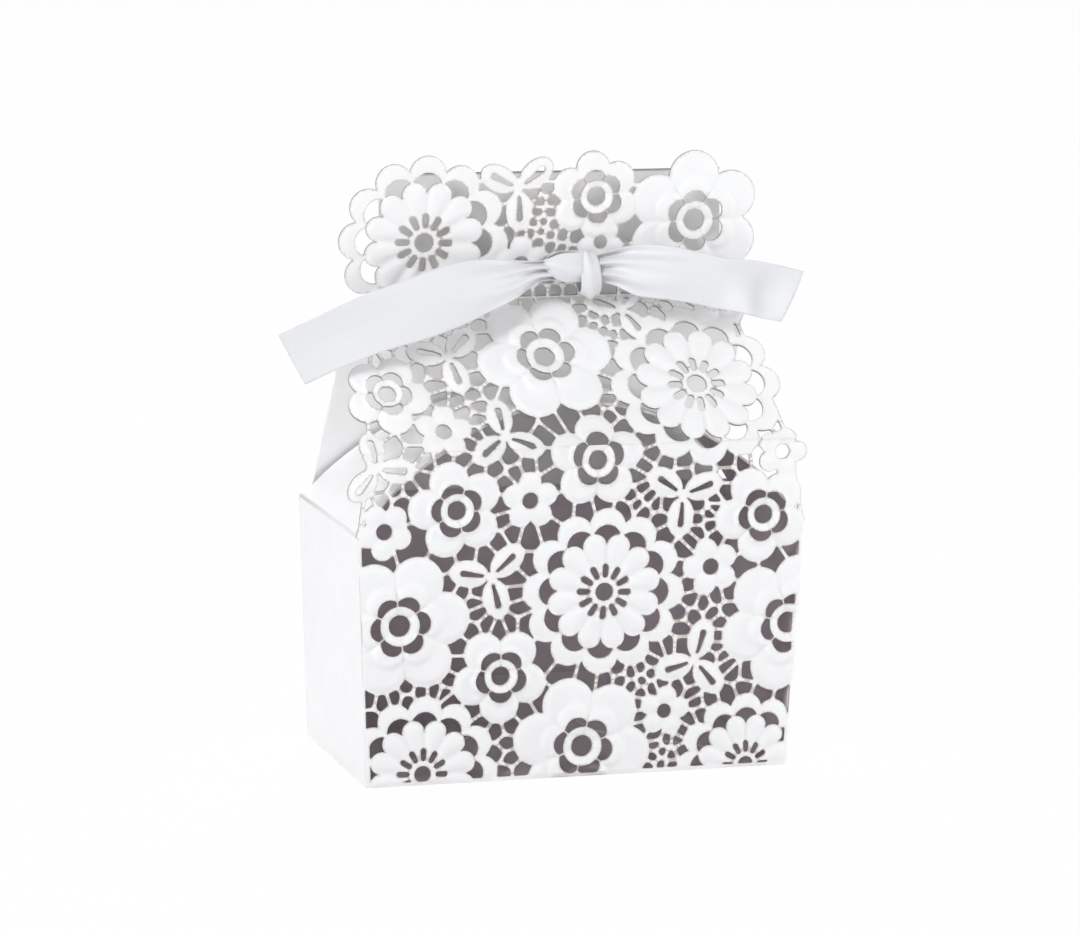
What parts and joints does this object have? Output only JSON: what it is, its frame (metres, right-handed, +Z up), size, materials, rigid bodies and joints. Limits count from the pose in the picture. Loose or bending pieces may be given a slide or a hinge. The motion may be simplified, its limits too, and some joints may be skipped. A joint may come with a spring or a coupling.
{
  "type": "favour box",
  "caption": "Folded white card favour box with a laser-cut floral lace front, leaning roof flaps, an upright crest and a satin ribbon tied through it.",
  "frame": {"origin": "middle of the base, on the surface that the box stands on", "axes": "+X to the right as the lace front is seen, +Y from the lace front to the plain back, +Z up"},
  "size_m": [0.0907, 0.04, 0.1065],
  "materials": {
    "card": "matt white wood-pulp card of about 300 grams per square metre, laser cut, with a faint pearl",
    "ribbon": "white satin ribbon with a soft sheen"
  },
  "bodies": {
    "carton": {"front_wall": "card", "back_wall": "card", "left_wall": "card", "right_wall": "card", "seam_flap": "card"},
    "front_flap": {"front_roof": "card", "front_crest": "card", "ribbon_knot": "ribbon", "ribbon_loop": "ribbon", "ribbon_left_tail": "ribbon", "ribbon_right_tail": "ribbon"},
    "back_flap": {"back_roof": "card", "back_crest": "card"},
    "left_vault": {"left_vault_flap": "card"},
    "right_vault": {"right_vault_flap": "card"},
    "base_flap": {"base_panel": "card", "base_tongue": "card"},
    "base_left": {"base_left_flap": "card"},
    "base_right": {"base_right_flap": "card"}
  },
  "joints": [
    {"name": "front_flap_fold", "type": "hinge", "parent": "carton", "child": "front_flap", "pos_m": [0, -0.02, 0.058], "axis": [1, 0, 0], "range_deg": [0, 120], "deforming": ["ribbon_loop"]},
    {"name": "back_flap_fold", "type": "hinge", "parent": "carton", "child": "back_flap", "pos_m": [0, 0.02, 0.0435], "axis": [-1, 0, 0], "range_deg": [0, 120]},
    {"name": "left_vault_fold", "type": "hinge", "parent": "carton", "child": "left_vault", "pos_m": [-0.04, 0, 0.0435], "axis": [0, -1, 0], "range_deg": [0, 90]},
    {"name": "right_vault_fold", "type": "hinge", "parent": "carton", "child": "right_vault", "pos_m": [0.04, 0, 0.0435], "axis": [0, 1, 0], "range_deg": [0, 90]},
    {"name": "base_fold", "type": "hinge", "parent": "carton", "child": "base_flap", "pos_m": [0, -0.0196, 0], "axis": [-1, 0, 0], "range_deg": [0, 110]},
    {"name": "base_left_fold", "type": "hinge", "parent": "carton", "child": "base_left", "pos_m": [-0.0376, 0, 0.00046], "axis": [0, 1, 0], "range_deg": [0, 88]},
    {"name": "base_right_fold", "type": "hinge", "parent": "carton", "child": "base_right", "pos_m": [0.0376, 0, 0.00046], "axis": [0, -1, 0], "range_deg": [0, 88]}
  ],
  "couplings": [
    {"joint": "back_flap_fold", "follows": "front_flap_fold", "ratio": 1},
    {"joint": "left_vault_fold", "follows": "front_flap_fold", "ratio": 0.75},
    {"joint": "right_vault_fold", "follows": "front_flap_fold", "ratio": 0.75},
    {"joint": "base_left_fold", "follows": "base_fold", "ratio": 0.8},
    {"joint": "base_right_fold", "follows": "base_fold", "ratio": 0.8}
  ]
}
